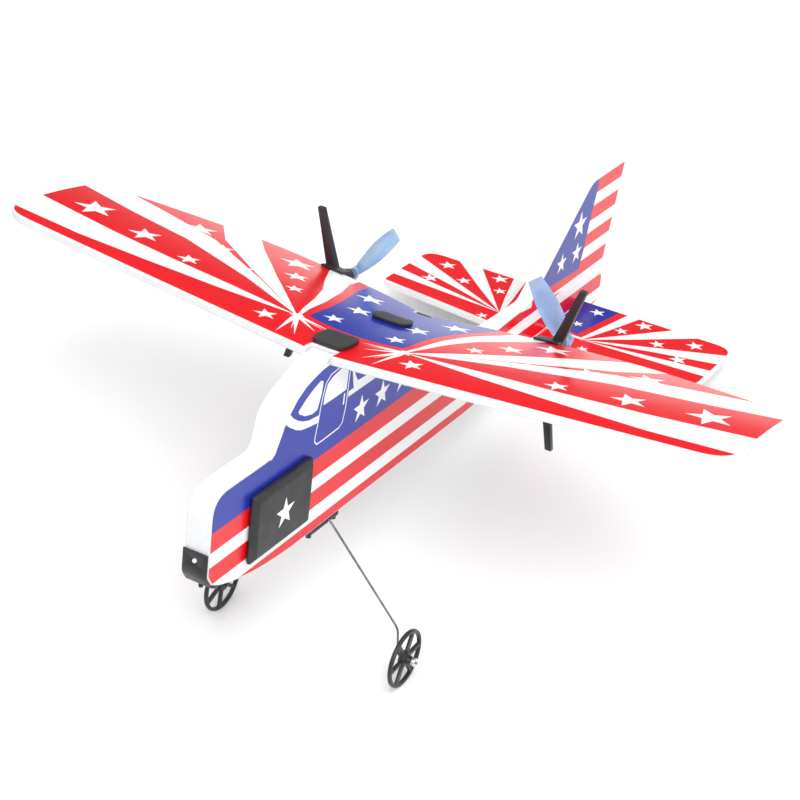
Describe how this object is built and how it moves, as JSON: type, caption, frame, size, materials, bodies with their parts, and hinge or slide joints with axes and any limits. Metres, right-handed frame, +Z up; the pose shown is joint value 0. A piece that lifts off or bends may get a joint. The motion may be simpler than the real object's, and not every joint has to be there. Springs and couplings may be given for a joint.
{
  "type": "toy foam aeroplane with twin pusher propellers",
  "caption": "Flat foam park flyer with a one-piece wing, pusher propellers behind it, flat tail and wire landing gear.",
  "frame": {"origin": "centre of the bounding box's base, on the ground plane the two wheels and the tail stand on", "axes": "+Z up, +Y from nose to tail, +X towards the port wing tip; the aeroplane sits nose up"},
  "size_m": [0.3092, 0.337, 0.1375],
  "materials": {
    "foam": "satin closed-cell foam with a printed film on its faces",
    "black_plastic": "fine satin moulding",
    "clear_lens": "clear polished",
    "cell_foil": "soft foil pouch",
    "circuit_board": "satin solder mask",
    "chip_black": "moulded package",
    "socket_white": "moulded nylon",
    "switch_grey": "moulded",
    "bright_steel": "plated drawn can",
    "plain_steel": "drawn spring wire",
    "chrome": "polished",
    "clear_blue": "translucent, lightly frosted",
    "lead_black": "soft wire insulation"
  },
  "bodies": {
    "airframe": {"fuselage_plate": "foam", "main_wing": "foam", "tailplane": "foam", "nose_bumper": "black_plastic", "nose_lamp": "clear_lens", "wing_clip_front": "black_plastic", "wing_clip_rear": "black_plastic", "wing_hook": "black_plastic", "battery_tray": "black_plastic", "battery_cell": "cell_foil", "receiver_board": "circuit_board", "receiver_chip": "chip_black", "charge_socket": "socket_white", "switch_body": "switch_grey", "motor_mount_port": "black_plastic", "motor_mount_starboard": "black_plastic", "motor_can_port": "bright_steel", "motor_can_starboard": "bright_steel", "motor_lead_port": "lead_black", "motor_lead_starboard": "lead_black", "gear_bar": "black_plastic", "gear_screw_front": "plain_steel", "gear_screw_rear": "plain_steel", "gear_wire": "plain_steel", "wheel_collar_port": "chrome", "wheel_collar_starboard": "chrome"},
    "prop_port": {"propeller_port": "clear_blue", "propeller_cap_port": "clear_blue", "motor_shaft_port": "plain_steel"},
    "prop_starboard": {"propeller_starboard": "clear_blue", "propeller_cap_starboard": "clear_blue", "motor_shaft_starboard": "plain_steel"},
    "wheel_port_body": {"wheel_port": "black_plastic"},
    "wheel_starboard_body": {"wheel_starboard": "black_plastic"},
    "hatch": {"battery_hatch": "black_plastic"},
    "switch": {"switch_slider": "black_plastic"}
  },
  "joints": [
    {"name": "prop_port_spin", "type": "hinge", "parent": "airframe", "child": "prop_port", "pos_m": [0.0488, 0.01853, 0.08383], "axis": [0, 0.9632, -0.2689], "continuous": true},
    {"name": "prop_starboard_spin", "type": "hinge", "parent": "airframe", "child": "prop_starboard", "pos_m": [-0.0488, 0.01853, 0.08383], "axis": [0, 0.9632, -0.2689], "continuous": true},
    {"name": "wheel_port_spin", "type": "hinge", "parent": "airframe", "child": "wheel_port_body", "pos_m": [0.0421, -0.102, 0.01211], "axis": [1, 0, 0], "continuous": true},
    {"name": "wheel_starboard_spin", "type": "hinge", "parent": "airframe", "child": "wheel_starboard_body", "pos_m": [-0.0421, -0.102, 0.01211], "axis": [1, 0, 0], "continuous": true},
    {"name": "hatch_swing", "type": "hinge", "parent": "airframe", "child": "hatch", "pos_m": [0.0064, -0.1418, 0.09901], "axis": [0, -0.2689, -0.9632], "range_deg": [0, 90]},
    {"name": "switch_slide", "type": "slide", "parent": "airframe", "child": "switch", "axis": [0, 0.9632, -0.2689], "range_m": [0, 0.0016]}
  ]
}
